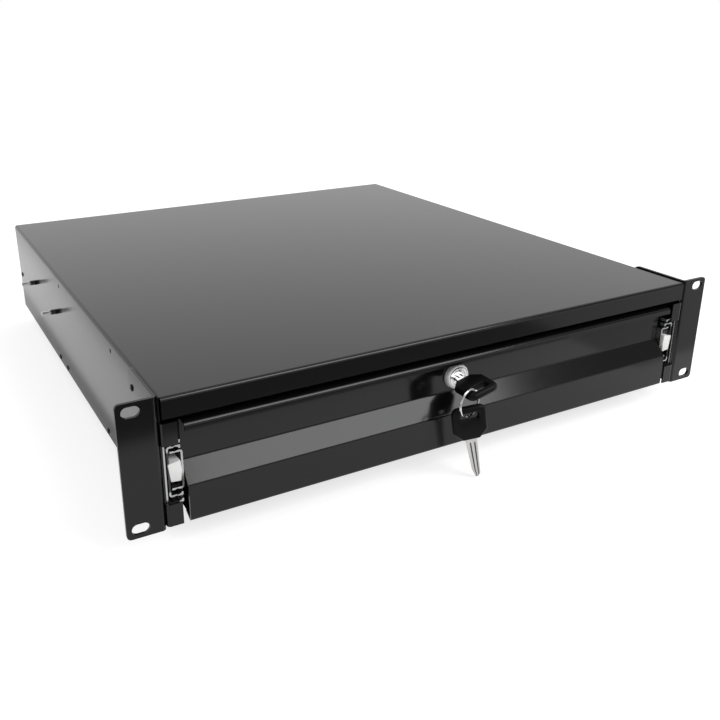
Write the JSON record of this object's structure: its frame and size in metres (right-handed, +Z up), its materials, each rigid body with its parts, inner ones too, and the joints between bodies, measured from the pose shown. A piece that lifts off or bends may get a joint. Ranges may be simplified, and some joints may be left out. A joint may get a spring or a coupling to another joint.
{
  "type": "sliding rack drawer",
  "caption": "Black two-unit rack drawer with slotted ears, a folded front with a finger recess, ball slides, a cam lock, and a key with a spare on a ring.",
  "frame": {"origin": "centre of the four ear slots, on the face of the ears that meets the rack rails", "axes": "+X to the right seen from the front, +Y into the rack, +Z up"},
  "size_m": [0.4826, 0.4877, 0.1024],
  "materials": {
    "black_paint": "satin",
    "zinc_steel": "zinc plated",
    "bright_metal": "polished",
    "white_nylon": "moulded",
    "black_plastic": "moulded"
  },
  "bodies": {
    "case": {"case_shell": "black_paint", "rear_panel": "black_paint", "rear_rivets": "black_paint", "front_tie": "black_paint", "rear_tie": "black_paint", "tie_rivets": "black_paint", "rack_ear_left": "black_paint", "rack_ear_right": "black_paint", "ear_screws": "black_paint", "lock_strike": "black_paint", "strike_rivets": "black_paint", "side_screws": "zinc_steel", "slide_front_rivets": "zinc_steel", "slide_outer_left": "zinc_steel", "slide_outer_right": "zinc_steel"},
    "slide_middles": {"slide_middle_left": "zinc_steel", "slide_middle_right": "zinc_steel", "slide_bumper_left": "white_nylon", "slide_bumper_right": "white_nylon"},
    "outer_cages": {"outer_cage_left": "zinc_steel", "outer_cage_right": "zinc_steel", "outer_balls_left": "bright_metal", "outer_balls_right": "bright_metal"},
    "inner_cages": {"inner_cage_left": "zinc_steel", "inner_cage_right": "zinc_steel", "inner_balls_left": "bright_metal", "inner_balls_right": "bright_metal"},
    "drawer": {"drawer_tray": "black_paint", "tray_front_wall": "black_paint", "tray_rear_wall": "black_paint", "drawer_front": "black_paint", "front_studs": "zinc_steel", "front_nuts": "zinc_steel", "lock_body": "bright_metal", "lock_nut": "zinc_steel", "slide_inner_left": "zinc_steel", "slide_inner_right": "zinc_steel", "inner_screws_left": "zinc_steel", "inner_screws_right": "zinc_steel", "lever_pin_left": "zinc_steel", "lever_pin_right": "zinc_steel"},
    "lever_left": {"release_lever_left": "black_plastic"},
    "lever_right": {"release_lever_right": "black_plastic"},
    "plug": {"lock_plug": "bright_metal", "lock_cam": "zinc_steel", "cam_screw": "zinc_steel"},
    "key": {"key_head": "black_plastic", "key_blade": "zinc_steel"},
    "ring": {"key_ring": "bright_metal"},
    "spare_key": {"spare_key_head": "black_plastic", "spare_key_blade": "zinc_steel"}
  },
  "joints": [
    {"name": "drawer_slide", "type": "slide", "parent": "case", "child": "drawer", "axis": [0, -1, 0], "range_m": [0, 0.4]},
    {"name": "middle_slide", "type": "slide", "parent": "case", "child": "slide_middles", "axis": [0, -1, 0], "range_m": [0, 0.2]},
    {"name": "outer_cage_roll", "type": "slide", "parent": "case", "child": "outer_cages", "axis": [0, -1, 0], "range_m": [0, 0.1]},
    {"name": "inner_cage_roll", "type": "slide", "parent": "case", "child": "inner_cages", "axis": [0, -1, 0], "range_m": [0, 0.3]},
    {"name": "lock_turn", "type": "hinge", "parent": "drawer", "child": "plug", "pos_m": [0, 0.0025, 0.0066], "axis": [0, 1, 0], "range_deg": [0, 90]},
    {"name": "key_pull", "type": "slide", "parent": "plug", "child": "key", "axis": [0, -1, 0], "range_m": [0, 0.03]},
    {"name": "ring_swing", "type": "hinge", "parent": "key", "child": "ring", "pos_m": [-0.00901, -0.02193, 0.0066], "axis": [0.9659, 0.2588, 0], "range_deg": [-12, 6]},
    {"name": "spare_swing", "type": "hinge", "parent": "ring", "child": "spare_key", "pos_m": [-0.00901, -0.02193, -0.0106], "axis": [0.9659, 0.2588, 0], "range_deg": [-10, 6]},
    {"name": "lever_left_turn", "type": "hinge", "parent": "drawer", "child": "lever_left", "pos_m": [-0.205, 0.315, -0.00775], "axis": [1, 0, 0], "range_deg": [-5, 5]},
    {"name": "lever_right_turn", "type": "hinge", "parent": "drawer", "child": "lever_right", "pos_m": [0.205, 0.315, -0.00775], "axis": [1, 0, 0], "range_deg": [-5, 5]}
  ],
  "couplings": [
    {"joint": "middle_slide", "follows": "drawer_slide", "ratio": 0.5},
    {"joint": "outer_cage_roll", "follows": "drawer_slide", "ratio": 0.25},
    {"joint": "inner_cage_roll", "follows": "drawer_slide", "ratio": 0.75}
  ]
}
